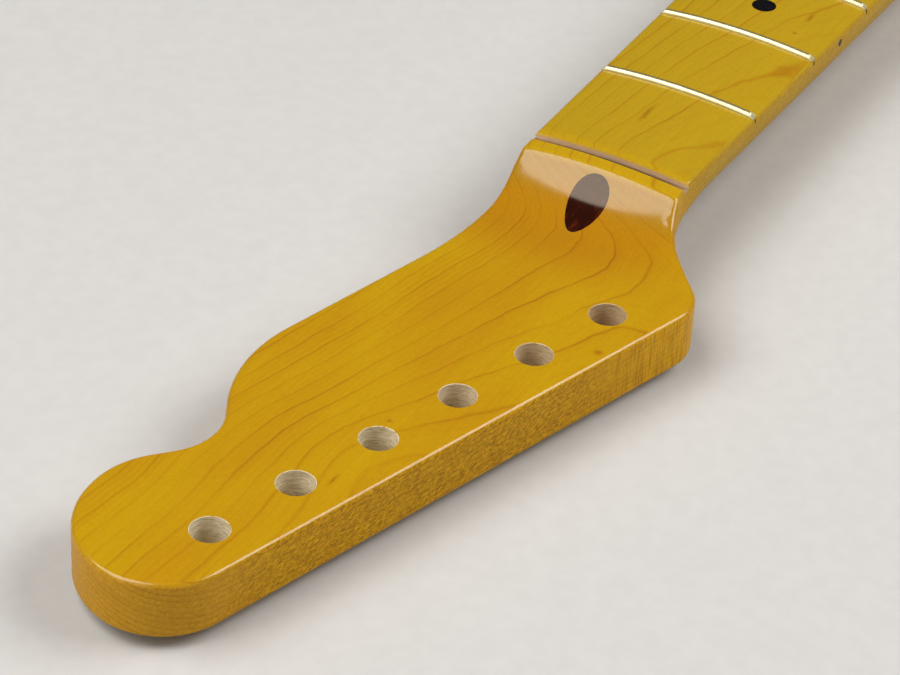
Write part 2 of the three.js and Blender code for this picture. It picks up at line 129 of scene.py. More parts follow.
def roundedPath(corners, step):
    # straight legs from corner to corner, rounded as far as the legs have room for
    places = [np.array(corner[:2], float) for corner in corners]
    legs = [b - a for a, b in zip(places, places[1:])]
    lengths = [np.hypot(*leg) for leg in legs]
    ways = [leg / length for leg, length in zip(legs, lengths)]
    bends = [0] + [math.acos(np.clip(a @ b, -1, 1)) for a, b in zip(ways, ways[1:])] + [0]
    reaches = [corner[2] * math.tan(bend / 2) for corner, bend in zip(corners, bends)]
    rooms = [min(1, length / (a + b)) for length, a, b in zip(lengths, reaches, reaches[1:])]
    path = [places[0]]
    for i in range(1, len(legs)):
        before, after = ways[i - 1], ways[i]
        reach = reaches[i] * min(rooms[i - 1], rooms[i])
        side = np.sign(before[0] * after[1] - before[1] * after[0])
        radius = reach / math.tan(bends[i] / 2)
        start = places[i] - before * reach
        centre = start + np.array([-before[1], before[0]]) * side * radius
        arm = start - centre
        steps = max(2, math.ceil(radius * bends[i] / step))
        for turn in side * bends[i] * np.arange(steps + 1) / steps:
            path.append(centre + np.array([
                arm[0] * math.cos(turn) - arm[1] * math.sin(turn),
                arm[0] * math.sin(turn) + arm[1] * math.cos(turn)]))
    path.append(places[-1])
    return np.array(path)


def spread(path, step):
    # even points along a path, its two ends kept
    lengths = np.hypot(*np.diff(path, axis=0).T)
    along = np.concatenate([[0], np.cumsum(lengths)])
    even = np.linspace(0, along[-1], max(2, round(along[-1] / step) + 1))
    return np.stack([np.interp(even, along, path[:, i]) for i in range(2)], 1)


headCorners = [planCorner(corner) for corner in head["corners"]]
planCorners = [
    (0, -board["nutWidth"] / 2, 0),
    planCorner(head["shoulder"], board["nutWidth"]),
    *headCorners,
    planCorner(head["flare"], board["nutWidth"]),
    (0, board["nutWidth"] / 2, 0),
]
headPlan = spread(roundedPath(planCorners, fineness["pathStep"]), fineness["planStep"])
edgeLine = np.concatenate([
    [[heelEnd, -board["heelWidth"] / 2]], headPlan, [[heelEnd, board["heelWidth"] / 2]]])
tipPoint = headPlan[:, 0].argmax()
bassLine = edgeLine[tipPoint + 1:][::-1]
trebleLine = edgeLine[:tipPoint + 2]


def wholePlan():
    # closed outline, anticlockwise from the treble side's heel corner
    shaft = spread(edgeLine[:2], fineness["shaftEdge"])
    corner, half = heel["cornerRound"], board["heelWidth"] / 2
    turns = np.radians(np.linspace(180, 270, fineness["cornerPoints"]))
    arc = corner * np.stack([np.cos(turns) + 1, np.sin(turns) + 1], 1)
    shaft = shaft[shaft[:, 0] > heelEnd + corner + fineness["margin"]]
    treble = np.concatenate([arc + [heelEnd, -half], shaft[:-1]])
    bass = treble[::-1] * [1, -1]
    end = spread(np.array([bass[-1], treble[0]]), fineness["heelEdge"])[1:-1]
    return np.concatenate([treble, headPlan, bass, end])


def outwards(plan):
    along = np.roll(plan, -1, 0) - np.roll(plan, 1, 0)
    along /= np.hypot(*along.T)[:, None]
    return np.stack([along[:, 1], -along[:, 0]], 1)


# Heights of the top and the back

def boardHeight(y):
    return np.sqrt(board["radius"] ** 2 - np.asarray(y) ** 2) - board["radius"]


def faceHeight(x, y):
    lip = boardHeight(y) - scoop["lipDrop"]
    toGo = np.clip(scoopEnd - x, 0, scoopRun)
    share = (scoop["radius"] - np.sqrt(scoop["radius"] ** 2 - toGo ** 2)) / scoopRise
    return np.where(x <= 0, boardHeight(y), mix(headFace, lip, share))


def shaftDepth(x):
    share = (np.minimum(x, 0) - fretPlace(1)) / (fretPlace(playing["notes"]) - fretPlace(1))
    return mix(board["firstFretDepth"], board["octaveDepth"], share)


def edgeRise(radius, inset):
    # how far a rounded edge has risen at an inset from the wall
    return radius - np.sqrt(radius ** 2 - np.maximum(radius - inset, 0) ** 2)


def backHeight(x, y, inset):
    # half an ellipse across the shaft, which becomes the heel's block and the headstock's back
    bass, treble = np.interp(x, *bassLine.T), np.interp(x, *trebleLine.T)
    half = np.maximum((bass - treble) / 2, fineness["leastHalf"])
    share = np.minimum(np.abs(y - (bass + treble) / 2) / half, 1)
    side = boardHeight(np.minimum(half, board["heelWidth"] / 2)) - board["edgeRound"] - board["side"]
    shaft = side - (shaftDepth(x) + side) * np.sqrt(1 - share ** 2)
    heelBlock = -heel["depth"] + edgeRise(heel["edgeRound"], inset)
    headBlock = headBack + edgeRise(head["edgeRound"], inset)
    withHeel = mix(heelBlock, shaft, smooth(x, heelFront, heelFront + heel["ramp"]))
    return mix(withHeel, headBlock, smooth(x, -head["blendFrom"], head["blend"] - head["blendFrom"]))


# Meshes

def addObject(name, data):
    made = bpy.data.objects.new(name, data)
    bpy.context.scene.collection.objects.link(made)
    return made


def meshPiece(name, points, faces):
    # a smooth piece from points in the neck's own frame
    mesh = bpy.data.meshes.new(name)
    mesh.from_pydata([tuple(p) for p in toModel(points)], [], faces)
    mesh.shade_smooth()
    return addObject(name, mesh)


def insidePlan(points, plan, margin):
    # which points lie inside a plan and clear of its edge
    x, y = points.T
    inside = np.zeros(len(points), bool)
    nearest = np.full(len(points), np.inf)
    for (ax, ay), (bx, by) in zip(plan, np.roll(plan, -1, 0)):
        if by != ay:
            inside ^= ((ay > y) != (by > y)) & (x < ax + (y - ay) * (bx - ax) / (by - ay))
        length = (bx - ax) ** 2 + (by - ay) ** 2
        share = np.clip(((x - ax) * (bx - ax) + (y - ay) * (by - ay)) / length, 0, 1)
        nearest = np.minimum(nearest, np.hypot(x - ax - share * (bx - ax), y - ay - share * (by - ay)))
    return inside & (nearest > margin)


def fillPlan(rim):
    # triangles over the plan inside a rim, whose points come first
    bands = [
        (heelEnd, fineness["fineFrom"], fineness["shaftStep"]),
        (fineness["fineFrom"], 0, fineness["headStep"]),
        (fineness["scoopStep"] / 2, scoopEnd, fineness["scoopStep"]),
        (scoopEnd + fineness["scoopStep"] / 2, headPlan[tipPoint, 0], fineness["headStep"]),
    ]
    across = fineness["across"]
    rows = np.arange(rim[:, 1].min(), rim[:, 1].max(), across)
    inner = [(x, y + across / 2 * (i % 2)) for start, end, step in bands
             for i, x in enumerate(np.arange(start, end, step)) for y in rows]
    inner = np.array(inner)[insidePlan(np.array(inner), rim, fineness["margin"])]
    points = [Vector(p) for p in np.concatenate([rim, inner])]
    edges = [(i, (i + 1) % len(rim)) for i in range(len(rim))]
    insideOnly = 1
    found, _, faces, *_ = delaunay_2d_cdt(points, edges, [], insideOnly, fineness["mergeWithin"])
    return np.array(found), faces


def buildBlank():
    # rings of points from the face's rim over the rolled edge, down the wall and round the back
    plan = wholePlan()
    normals = outwards(plan)
    count = len(plan)
    x = plan[:, 0]
    radius = mix(board["edgeRound"], head["edgeRound"], smooth(x, 0, lipFront))
    rings = []
    for roll in np.radians(fineness["rolls"]):
        place = plan - normals * (radius * (1 - math.cos(roll)))[:, None]
        z = faceHeight(x, place[:, 1]) - radius * (1 - math.sin(roll))
        rings.append(np.column_stack([place, z]))
    reach = mix(fineness["heelShare"], 1, smooth(x, heelFront, heelFront + heel["ramp"]))
    backRings = []
    for inset in fineness["backInsets"]:
        place = plan - normals * (inset * reach)[:, None]
        backRings.append(np.column_stack([place, backHeight(*place.T, inset * reach)]))
    wallTop, wallFoot = rings[-1], backRings[0]
    rings += [mix(wallTop, wallFoot, k / fineness["walls"]) for k in range(1, fineness["walls"])]
    rings += backRings
    points = np.concatenate(rings)
    faces = [(k * count + j, (k + 1) * count + j, (k + 1) * count + (j + 1) % count,
              k * count + (j + 1) % count) for k in range(len(rings) - 1) for j in range(count)]
    lastRing = (len(rings) - 1) * count
    for rimStart, isTop in ((0, True), (lastRing, False)):
        rim = points[rimStart:rimStart + count]
        flat, triangles = fillPlan(rim[:, :2])
        height = faceHeight(*flat.T) if isTop else backHeight(*flat.T, np.full(len(flat), np.inf))
        first = len(points) - count
        points = np.concatenate([points, np.column_stack([flat, height])[count:]])
        for triangle in triangles:
            face = [rimStart + i if i < count else first + i for i in triangle]
            faces.append(tuple(face) if isTop else tuple(reversed(face)))
    return meshPiece("neck_blank", points, faces)


def closedRings(count, rings, first=0):
    # faces of a body made of rings of points, with an end face on its first and its last ring
    last = first + (rings - 1) * count
    sides = [(start + j, start + (j + 1) % count, start + (j + 1) % count + count, start + j + count)
             for start in range(first, last, count) for j in range(count)]
    return sides + [tuple(reversed(range(first, first + count))), tuple(range(last, last + count))]


def turnedPiece(name, bodies, sides=fineness["turnedSides"]):
    # bodies turned about lines: each has a start, a direction and a profile of (along, radius)
    points, faces = [], []
    for start, direction, profile in bodies:
        along = np.array(direction, float)
        side = np.cross(along, [0, 0, 1] if abs(along[2]) < 0.9 else [1, 0, 0])
        side /= np.linalg.norm(side)
        turns = np.arange(sides)[:, None] * 2 * math.pi / sides
        arms = side * np.cos(turns) + np.cross(along, side) * np.sin(turns)
        faces += closedRings(sides, len(profile), len(points))
        for distance, radius in profile:
            points.extend(np.array(start) + along * distance + arms * radius)
    return meshPiece(name, points, faces)


def boxPiece(name, low, high):
    corners = np.array([(x, y, z) for z in (0, 1) for x, y in ((0, 0), (1, 0), (1, 1), (0, 1))])
    return meshPiece(name, np.array(low) + corners * (np.array(high) - low), closedRings(4, 2))


def settle(piece):
    # keep what the modifiers make as the piece's own mesh
    made = bpy.data.meshes.new_from_object(piece.evaluated_get(bpy.context.evaluated_depsgraph_get()))
    piece.modifiers.clear()
    piece.data = made
    return piece


def carve(piece, tool, operation="DIFFERENCE"):
    cut = piece.modifiers.new("cut", "BOOLEAN")
    cut.operation, cut.object, cut.solver = operation, tool, "MANIFOLD"
    return settle(piece)


def drop(*pieces):
    for piece in pieces:
        bpy.data.objects.remove(piece)


def markCuts(piece, surface):
    # faces that lie off the blank's own surface take the piece's last material, and stay crisp
    # where they meet it, however flat the angle
    cutIndex = len(piece.data.materials) - 1
    sides = {}
    for face in piece.data.polygons:
        isCut = surface.find_nearest(face.center)[3] * 1000 > fineness["offSurface"]
        face.material_index = cutIndex if isCut else 0
        for key in face.edge_keys:
            sides.setdefault(key, set()).add(isCut)
    for edge in piece.data.edges:
        if len(sides[edge.key]) == 2:
            edge.use_edge_sharp = True


# Nodes

def toLinear(hexColour):
    # an sRGB hex value as linear red, green, blue and alpha
    parts = [int(hexColour[i:i + 2], 16) / 255 for i in (1, 3, 5)]
    return tuple(c / 12.92 if c <= 0.04045 else ((c + 0.055) / 1.055) ** 2.4 for c in parts) + (1.0,)


def addNode(tree, kind, inputs=(), **settings):
    # a node by its kind, without Blender's prefix, and with its settings. A kind in capitals is a
    # Math node's operation. Each input, in order or by name, is linked where a node or a socket is
    # given, and set where a value or a colour is.
    if kind.isupper():
        kind, settings["operation"] = "Math", kind
    prefixes = ("ShaderNode", "GeometryNode", "Node")
    node = tree.nodes.new(next(prefix + kind for prefix in prefixes if hasattr(bpy.types, prefix + kind)))
    for name, value in settings.items():
        setattr(node, name, value)
    sockets = [socket for socket in node.inputs if socket.enabled]
    for key, value in inputs.items() if isinstance(inputs, dict) else enumerate(inputs):
        socket = node.inputs[key] if isinstance(key, str) else sockets[key]
        if isinstance(value, bpy.types.Node):
            value = next(output for output in value.outputs if output.enabled)
        if isinstance(value, bpy.types.NodeSocket):
            tree.links.new(value, socket)
        elif value is not None:
            socket.default_value = toLinear(value) if isinstance(value, str) else value
    return node


def startTree(name, sizes):
    # a Geometry Nodes tree with a named input for each size
    tree = bpy.data.node_groups.new(name, "GeometryNodeTree")
    for direction in ("INPUT", "OUTPUT"):
        tree.interface.new_socket("Geometry", in_out=direction, socket_type="NodeSocketGeometry")
    kinds = {int: "NodeSocketInt", float: "NodeSocketFloat", tuple: "NodeSocketVector"}
    for label, value in sizes.items():
        socket = tree.interface.new_socket(label, in_out="INPUT", socket_type=kinds[type(value)])
        socket.default_value = value
    add = partial(addNode, tree)
    return tree, add, add("GroupInput").outputs


def growPiece(name, tree, sizes, base):
    # a mesh made by a tree from a base mesh
    piece = addObject(name, base)
    grower = piece.modifiers.new("grow", "NODES")
    grower.node_group = tree
    for item in tree.interface.items_tree:
        if item.in_out == "INPUT" and item.name in sizes:
            grower[item.identifier] = sizes[item.name]
    return settle(piece)


# Frets: a domed crown on a tang, swept along a wire that is bent to the board

fret = dict(
    crownWidth=2.1, crownHeight=1.1, tangWidth=0.56, tangDepth=1.5,
    endInset=0.35, endLean=0.7, endRound=0.45, endDrop=0.75, domePoints=17, stations=49,
    sawPast=3, sawDome=1.001,
)

fretSizes = {
    "Frets": playing["frets"], "Notes": float(playing["notes"]),
    "Scale Length": playing["scaleLength"] / 1000, "Nut Width": board["nutWidth"] / 1000,
    "Heel Width": board["heelWidth"] / 1000, "Heel End": heelEnd / 1000,
    "Board Radius": board["radius"] / 1000, "End Inset": fret["endInset"] / 1000,
    "End Lean": fret["endLean"], "End Round": fret["endRound"] / 1000, "End Drop": fret["endDrop"],
    "Stations": fret["stations"], "Nut At": tuple(nutAt),
}


def fretSection(name, room):
    # closed outline: the dome, then round the tang. It is drawn upside down, as the wire turns it
    # over. A section with room is the saw's, hardly wider at its crown than at its tang.
    half = fret["tangWidth"] / 2 + room
    foot = fret["tangDepth"] + room
    crown = half * fret["sawDome"] if room else fret["crownWidth"] / 2
    turns = np.linspace(0, math.pi, fret["domePoints"])
    dome = np.stack([np.cos(turns) * crown, np.sin(turns) * fret["crownHeight"]], 1)
    tang = [(-half, 0), (-half, -foot), (half, -foot), (half, 0)]
    outline = np.concatenate([dome, tang])[::-1] * [1, -1] / 1000
    section = bpy.data.meshes.new(name)
    count = len(outline)
    section.from_pydata([(x, y, 0) for x, y in outline], [(i, (i + 1) % count) for i in range(count)], [])
    return section


def sweptWire(add, size):
    # a wire from side to side, its stations closer near the ends
    line = add("CurvePrimitiveLine", {"Start": (0, 1, 0), "End": (0, -1, 0)})
    even = add("ResampleCurve", {"Curve": line, "Count": size["Stations"]})
    place = add("SeparateXYZ", [add("InputPosition")])
    turn = add("MULTIPLY", [place.outputs[1], math.pi / 2])
    eased = add("CombineXYZ", [None, add("SINE", [turn])])
    spaced = add("SetPosition", {"Geometry": even, "Position": eased})
    section = add("MeshToCurve", {"Mesh": size["Geometry"]})
    return add("CurveToMesh", {"Curve": spaced, "Profile Curve": section, "Fill Caps": True})


def laidWires(add, size, wire):
    # one at each fret's place by the equal-tempered rule, as wide as the board's taper leaves it
    number = add("ADD", [add("InputIndex"), 1.0])
    octaves = add("DIVIDE", [number, size["Notes"]])
    left = add("POWER", [0.5, octaves])
    gone = add("SUBTRACT", [left, 1.0])
    fromNut = add("MULTIPLY", [gone, size["Scale Length"]])
    places = add("Points", {"Count": size["Frets"], "Position": add("CombineXYZ", [fromNut])})
    along = add("SeparateXYZ", [add("InputPosition")])
    width = add("MapRange", [along, 0.0, size["Heel End"], size["Nut Width"], size["Heel Width"]])
    halfWidth = add("MULTIPLY", [width, 0.5])
    half = add("SUBTRACT", [halfWidth, size["End Inset"]])
    scale = add("CombineXYZ", [1.0, half, 1.0])
    laid = add("InstanceOnPoints", {"Points": places, "Instance": wire, "Scale": scale})
    return add("RealizeInstances", {"Geometry": laid}), half


def bentWires(add, size, wires, half):
    # ends that lean in and round over, then the whole wire bent to the board
    x, y, up = add("SeparateXYZ", [add("InputPosition")]).outputs
    high = add("MAXIMUM", [up, 0.0])
    low = add("MINIMUM", [up, 0.0])
    lean = add("MULTIPLY", [high, size["End Lean"]])
    leanShare = add("DIVIDE", [lean, half])
    kept = add("SUBTRACT", [1.0, leanShare])
    leaned = add("MULTIPLY", [y, kept])
    toEnd = add("SUBTRACT", [half, add("ABSOLUTE", [y])])
    toEndShare = add("DIVIDE", [toEnd, size["End Round"]])
    nearEnd = add("SUBTRACT", [1.0, toEndShare], use_clamp=True)
    squared = add("MULTIPLY", [nearEnd, nearEnd])
    lost = add("MULTIPLY", [squared, size["End Drop"]])
    rounded = add("SQRT", [add("SUBTRACT", [1.0, lost])])
    crown = add("MULTIPLY_ADD", [high, rounded, low])
    radiusSquared = add("POWER", [size["Board Radius"], 2.0])
    acrossSquared = add("MULTIPLY", [leaned, leaned])
    rest = add("SUBTRACT", [radiusSquared, acrossSquared])
    arc = add("SUBTRACT", [add("SQRT", [rest]), size["Board Radius"]])
    bent = add("CombineXYZ", [x, leaned, add("ADD", [crown, arc])])
    moved = add("VectorMath", [bent, size["Nut At"]], operation="ADD")
    return add("SetPosition", {"Geometry": wires, "Position": moved})


def fretTree(material):
    tree, add, size = startTree("fret wires", fretSizes)
    wires, half = laidWires(add, size, sweptWire(add, size))
    seated = bentWires(add, size, wires, half)
    add("GroupOutput", [add("SetMaterial", {"Geometry": seated, "Material": material})])
    return tree


def buildFrets(name, tree, room=0):
    # the wires, or with some room round their tangs the saw cuts right across the board
    sawn = {"End Inset": -fret["sawPast"] / 1000, "End Lean": 0.0} if room else {}
    return growPiece(name, tree, fretSizes | sawn, fretSection(name, room))


# Position dots: rods on points, later cut flush with the wood

dots = dict(
    frets=[3, 5, 7, 9, 12, 15, 17, 19, 21], sides=32, proud=1,
    face=dict(diameter=6.35, depth=1.8, octave=20, turn=(0.0, 0.0, 0.0)),
    side=dict(diameter=2, depth=2, octave=9, drop=1.5, turn=(-math.pi / 2, 0.0, 0.0)),
)


def dotPlaces():
    # the mouths of the face dots and of the side dots
    places = dict(face=[], side=[])
    for n in dots["frets"]:
        x = (fretPlace(n - 1) + fretPlace(n)) / 2
        for share in [0] if n % playing["notes"] else [-0.5, 0.5]:
            y = share * dots["face"]["octave"]
            places["face"].append((x, y, float(boardHeight(y))))
            half = mix(board["nutWidth"], board["heelWidth"], x / heelEnd) / 2
            height = float(boardHeight(half)) - board["edgeRound"] - dots["side"]["drop"]
            places["side"].append((x + share * dots["side"]["octave"], half, height))
    return places


def dotSizes(kind, room=0.0):
    return {
        "Diameter": (dots[kind]["diameter"] + 2 * room) / 1000, "Depth": (dots[kind]["depth"] + room) / 1000,
        "Proud": dots["proud"] / 1000, "Sides": dots["sides"], "Turn": dots[kind]["turn"],
    }


def dotTree(material):
    tree, add, size = startTree("dot rods", dotSizes("face"))
    length = add("ADD", [size["Depth"], size["Proud"]])
    radius = add("MULTIPLY", [size["Diameter"], 0.5])
    rod = add("MeshCylinder", {"Vertices": size["Sides"], "Radius": radius, "Depth": length})
    spare = add("SUBTRACT", [size["Proud"], size["Depth"]])
    up = add("CombineXYZ", [None, None, add("MULTIPLY", [spare, 0.5])])
    raised = add("SetPosition", {"Geometry": rod, "Offset": up})
    laid = add("InstanceOnPoints", {
        "Points": size["Geometry"], "Instance": raised, "Rotation": size["Turn"]})
    real = add("RealizeInstances", {"Geometry": laid})
    add("GroupOutput", [add("SetMaterial", {"Geometry": real, "Material": material})])
    return tree


def buildDots(name, tree, places, sizes):
    base = bpy.data.meshes.new(name)
    base.from_pydata([tuple(p) for p in toModel(places)], [], [])
    return growPiece(name, tree, sizes, base)


# Truss rod's channel, its stripe in the back, the plug in the scoop and the nut at the heel

rod = dict(
    diameter=4.76, dip=14, nutDrop=11,
    dipPlaces=[(0, 0), (0.2, 0.35), (0.4, 0.85), (0.6, 1), (0.85, 1), (1, 0.8)],
)

rodNut = dict(
    diameter=7.9, length=12.7, recess=1, room=0.85, chamfer=0.6, collar=0.25,
    slotWidth=1.4, slotDepth=2.2, bore=5.36, boreDepth=9.3, washer=1.2, cutPast=1,
    facet=(0.3, 0.45),
)

stripe = dict(width=6.35, start=24, toHeel=93, underRod=0.15, pastBack=2, endPoints=17)

plug = dict(diameter=9.525, length=22, place=(20.3, 2, -4), rise=10, yaw=6)


def channelPiece(name, fromRod, room=0.0):
    # a strip with round ends, from a height over or under the rod's middle down past the back
    half = stripe["width"] / 2 + room
    near, far = -stripe["start"], heelEnd + stripe["toHeel"]
    turns = np.radians(np.linspace(-90, 90, stripe["endPoints"]))
    arc = half * np.stack([np.cos(turns), np.sin(turns)], 1)
    nearEnd = arc + [near - stripe["width"] / 2, 0]
    farEnd = [far + stripe["width"] / 2, 0] - arc
    bassSide = spread(np.array([nearEnd[-1], farEnd[0]]), fineness["channelEdge"])[1:-1]
    trebleSide = spread(np.array([farEnd[-1], nearEnd[0]]), fineness["channelEdge"])[1:-1]
    plan = np.concatenate([nearEnd, bassSide, farEnd, trebleSide])
    share = np.clip((plan[:, 0] - far) / (near - far), 0, 1)
    along, dips = np.transpose(rod["dipPlaces"])
    roof = fromRod - mix(rod["nutDrop"], rod["dip"], np.interp(share, along, dips))
    foot = np.full(len(plan), -heel["depth"] - stripe["pastBack"])
    points = np.concatenate([np.column_stack([plan, foot]), np.column_stack([plan, roof])])
    return meshPiece(name, points, closedRings(len(plan), 2))


def dowelPiece(name, room=0.0):
    # the plug's dowel, longer than its hole, along its leaning axis
    rise, yaw = math.radians(plug["rise"]), math.radians(plug["yaw"])
    way = np.array([math.cos(rise) * math.cos(yaw), math.cos(rise) * math.sin(yaw), math.sin(rise)])
    start = np.array(plug["place"]) - way * plug["length"]
    radius, end = plug["diameter"] / 2 + room, plug["length"] + plug["diameter"]
    return turnedPiece(name, [(start, way, [(-room, radius), (end, radius)])])


def buildRodNut(name):
    # a turned steel nut: chamfered at its face, cross-slotted for a screwdriver, bored from behind
    start, outer = np.array([heelEnd + rodNut["recess"], 0, -rod["nutDrop"]]), rodNut["diameter"] / 2
    chamfer, length, past = rodNut["chamfer"], rodNut["length"], rodNut["cutPast"]
    profile = [
        (0, outer - chamfer), (chamfer * rodNut["facet"][0], outer - chamfer * rodNut["facet"][1]),
        (chamfer, outer),
        (length - rodNut["collar"], outer), (length, outer - rodNut["collar"]),
    ]
    nut = turnedPiece(name, [(start, (1, 0, 0), profile)])
    bore = [(length - rodNut["boreDepth"], rodNut["bore"] / 2), (length + past, rodNut["bore"] / 2)]
    cuts = [turnedPiece("nut_bore", [(start, (1, 0, 0), bore)], fineness["nutBoreSides"])]
    narrow, wide = rodNut["slotWidth"] / 2, outer + past
    for reach in ([0, narrow, wide], [0, wide, narrow]):
        low, high = start - reach - [past, 0, 0], start + reach + [rodNut["slotDepth"], 0, 0]
        cuts.append(boxPiece("nut_slot", low, high))
    for cut in cuts:
        carve(nut, cut)
    drop(*cuts)
    return nut


# Holes, each cut begun a little outside the wood

tuners = dict(count=6, hole=8.73, pitch=24.1, inset=11.82, start=19.3, mouth=0.15)

screws = dict(along=51, across=38, diameter=3.2, depth=19)

cutting = dict(outside=3, room=0.03, plugRoom=0.006)


def tunerHoles():
    # a row along the headstock's straight edge, from its back to its face, with broken mouths
    tip, horn = headCorners[-2][:2], headCorners[-1][:2]
    row = (tip - horn) / np.hypot(*(tip - horn))
    inwards = np.array([row[1], -row[0]])
    mouth, narrow, wide = tuners["mouth"], tuners["hole"] / 2, tuners["hole"] / 2 + tuners["mouth"]
    back, face = cutting["outside"], cutting["outside"] + head["thickness"]
    profile = [
        (0, wide), (back, wide), (back + mouth, narrow), (face - mouth, narrow), (face, wide),
        (face + cutting["outside"], wide),
    ]
    places = [horn + row * (tuners["start"] + i * tuners["pitch"]) + inwards * tuners["inset"]
              for i in range(tuners["count"])]
    return [((*place, headBack - cutting["outside"]), (0, 0, 1), profile) for place in places]


def drill(mouth, way, diameter, depth):
    start = np.array(mouth) - np.array(way) * cutting["outside"]
    return start, way, [(0, diameter / 2), (depth + cutting["outside"], diameter / 2)]


def screwHoles():
    middle = heelEnd + heel["flat"] / 2
    return [drill((middle + a * screws["along"] / 2, b * screws["across"] / 2, -heel["depth"]),
                  (0, 0, 1), screws["diameter"], screws["depth"]) for a in (-1, 1) for b in (-1, 1)]


def rodNutBore():
    depth = rodNut["recess"] + rodNut["length"] + rodNut["washer"]
    return drill((heelEnd, 0, -rod["nutDrop"]), (1, 0, 0), rodNut["diameter"] + 2 * rodNut["room"], depth)


# Growth rings. They lie almost flat in the wood, so that the scoop cuts through them one by one.

grain = dict(ringRise=1.5, smoothing=0.4, reach=0.00001, batch=20000)

# Where each ring comes up through the top: its number, then places along and across
ringLines = [
    (-2, [(120, 17.5), (121, 14.5), (126, 11), (134, 9.5), (139.5, 11)]),
    (-1, [(96, 24), (96, 21), (102, 19), (106.5, 14.5), (115.5, 8.5), (125, 2.5), (134, 1), (146, 4),
          (160, 5)]),
    (0.7, [(45, 32), (38, 31), (31, 31), (44, 36), (34, 37), (26, 33)]),
    (0, [(54.5, 35.5), (50.5, 32), (50.5, 29.5), (59, 25.5), (70.5, 22.5), (79.5, 18), (89, 12), (94, 8.5),
         (106, 4), (115, -0.5), (122, -4), (131, -5), (149, -3.5), (171, -3), (186, -3.5)]),
    (1, [(15, 9), (17, 12.5), (21.5, 18), (27.5, 24), (33, 24.5), (48, 21.5), (56, 19.5), (62, 17), (67, 13),
         (79.5, 7.5), (92, 4), (102.5, 0), (112, -4.5), (123, -7.5), (140, -8.5), (161, -8), (172, -8.5),
         (187, -11)]),
    (2, [(20.5, 10), (25, 15.5), (31, 17.5), (38, 16.5), (47.5, 12), (56, 9.5), (62, 5.5), (75, 2.5),
         (87, -1), (99, -5.5), (113, -8.5), (130, -13), (145, -14), (188, -14.5)]),
    (3, [(27, 6), (31, 7), (35, 6.5), (40, 3.5), (48, 1.5), (62, -0.5), (78, -4.5), (95, -9), (113, -13),
         (125, -16.5), (140, -18.5), (165, -18), (188, -19)]),
    (4, [(20, -5), (24.5, -3), (31, -1.5), (44, -2.5), (62, -6), (84, -11), (102.5, -15), (114, -18),
         (125, -22.5), (150, -23.5), (186, -23.5)]),
    (5, [(18, -9), (22.5, -7), (30, -5.5), (44, -7), (61, -10.5), (80, -14), (99.5, -18), (112, -22),
         (125, -24.5), (152, -27), (175, -27.5)]),
    (6, [(15.5, -17), (19, -14), (26, -10), (34, -9.5), (46, -11.5), (56, -14.5), (71, -17), (89, -20),
         (102.5, -23), (118, -26.5), (157, -29.5)]),
    (6.35, [(34, -11.5), (52, -15), (77, -19), (96, -24), (109, -26.5)]),
    (-3, [(-23, 21), (-15.5, 19), (-14, 14.5), (-10, 11), (0, 9.5)]),
    (-2, [(-56.5, 21), (-59.5, 15.5), (-54, 13.5), (-44, 9.5), (-34.5, 7), (-19.5, 4), (0, 1.5)]),
    (-1, [(-100, 16.5), (-92, 12.5), (-85.5, 8.5), (-75, 6), (-64, 4), (-50, 1.5), (-39, -2), (-22.5, -3),
          (-10, -5.5), (0, -6.5)]),
    (0, [(-82, 0.5), (-67.5, -1.5), (-54, -5.5), (-39, -7), (-16, -8.5), (0, -10)]),
    (1, [(-80, -5), (-63, -8.5), (-40, -10.5), (-29, -13), (-10, -14), (0, -14)]),
    (2, [(-65, -13), (-50, -14.5), (-42, -16)]),
    # towards the heel
    (-1, [(-125, 19), (-160, 17), (-200, 20), (-430, 21), (-465, 19)]),
    (0, [(-110, 5), (-150, 9), (-200, 12), (-250, 8), (-300, 4), (-360, 7), (-420, 12), (-465, 9)]),
    (1, [(-110, -2), (-150, 2), (-200, 4), (-255, -1), (-310, -5), (-370, -1), (-430, 2), (-465, 0)]),
    (2, [(-110, -11), (-160, -7), (-210, -5), (-260, -10), (-330, -13), (-400, -9), (-465, -11)]),
    (3, [(-110, -19), (-170, -16), (-230, -17), (-300, -21), (-400, -18), (-465, -20)]),
]


def thinPlate(points, places):
    squared = ((points[:, None] - places[None]) ** 2).sum(-1)
    return squared * np.log(squared + grain["reach"])


def ringField(points):
    # a smooth surface of ring numbers at the headstock's face, through the lines above
    places = np.array([place for _, line in ringLines for place in line], float)
    heights = faceHeight(*places.T) + head["drop"]
    values = np.repeat([ring for ring, _ in ringLines], [len(line) for _, line in ringLines])
    count = len(places)
    system = np.zeros((count + 3, count + 3))
    system[:count, :count] = thinPlate(places, places) + 2 * grain["smoothing"] * count * np.eye(count)
    system[:count, count:] = np.column_stack([np.ones(count), places])
    system[count:, :count] = system[:count, count:].T
    weights = np.linalg.solve(system, np.concatenate([values + heights / grain["ringRise"], np.zeros(3)]))
    flat = np.column_stack([np.ones(len(points)), points])
    field = np.empty(len(points))
    for part in np.array_split(np.arange(len(points)), len(points) // grain["batch"] + 1):
        field[part] = thinPlate(points[part], places) @ weights[:count] + flat[part] @ weights[count:]
    return field


def addGrowthRings(piece):
    # the ring field as a value on each point
    places = np.empty(len(piece.data.vertices) * 3)
    piece.data.vertices.foreach_get("co", places)
    ring = piece.data.attributes.new("growthRing", "FLOAT", "POINT")
    ring.data.foreach_set("value", ringField(fromModel(places.reshape(-1, 3))[:, :2]))


# Materials. A range holds two readings, in millimetres or of a pattern, and then what they lead
# to. A pattern has its waves to the millimetre along, across and up, and then its detail,
# roughness and distortion.

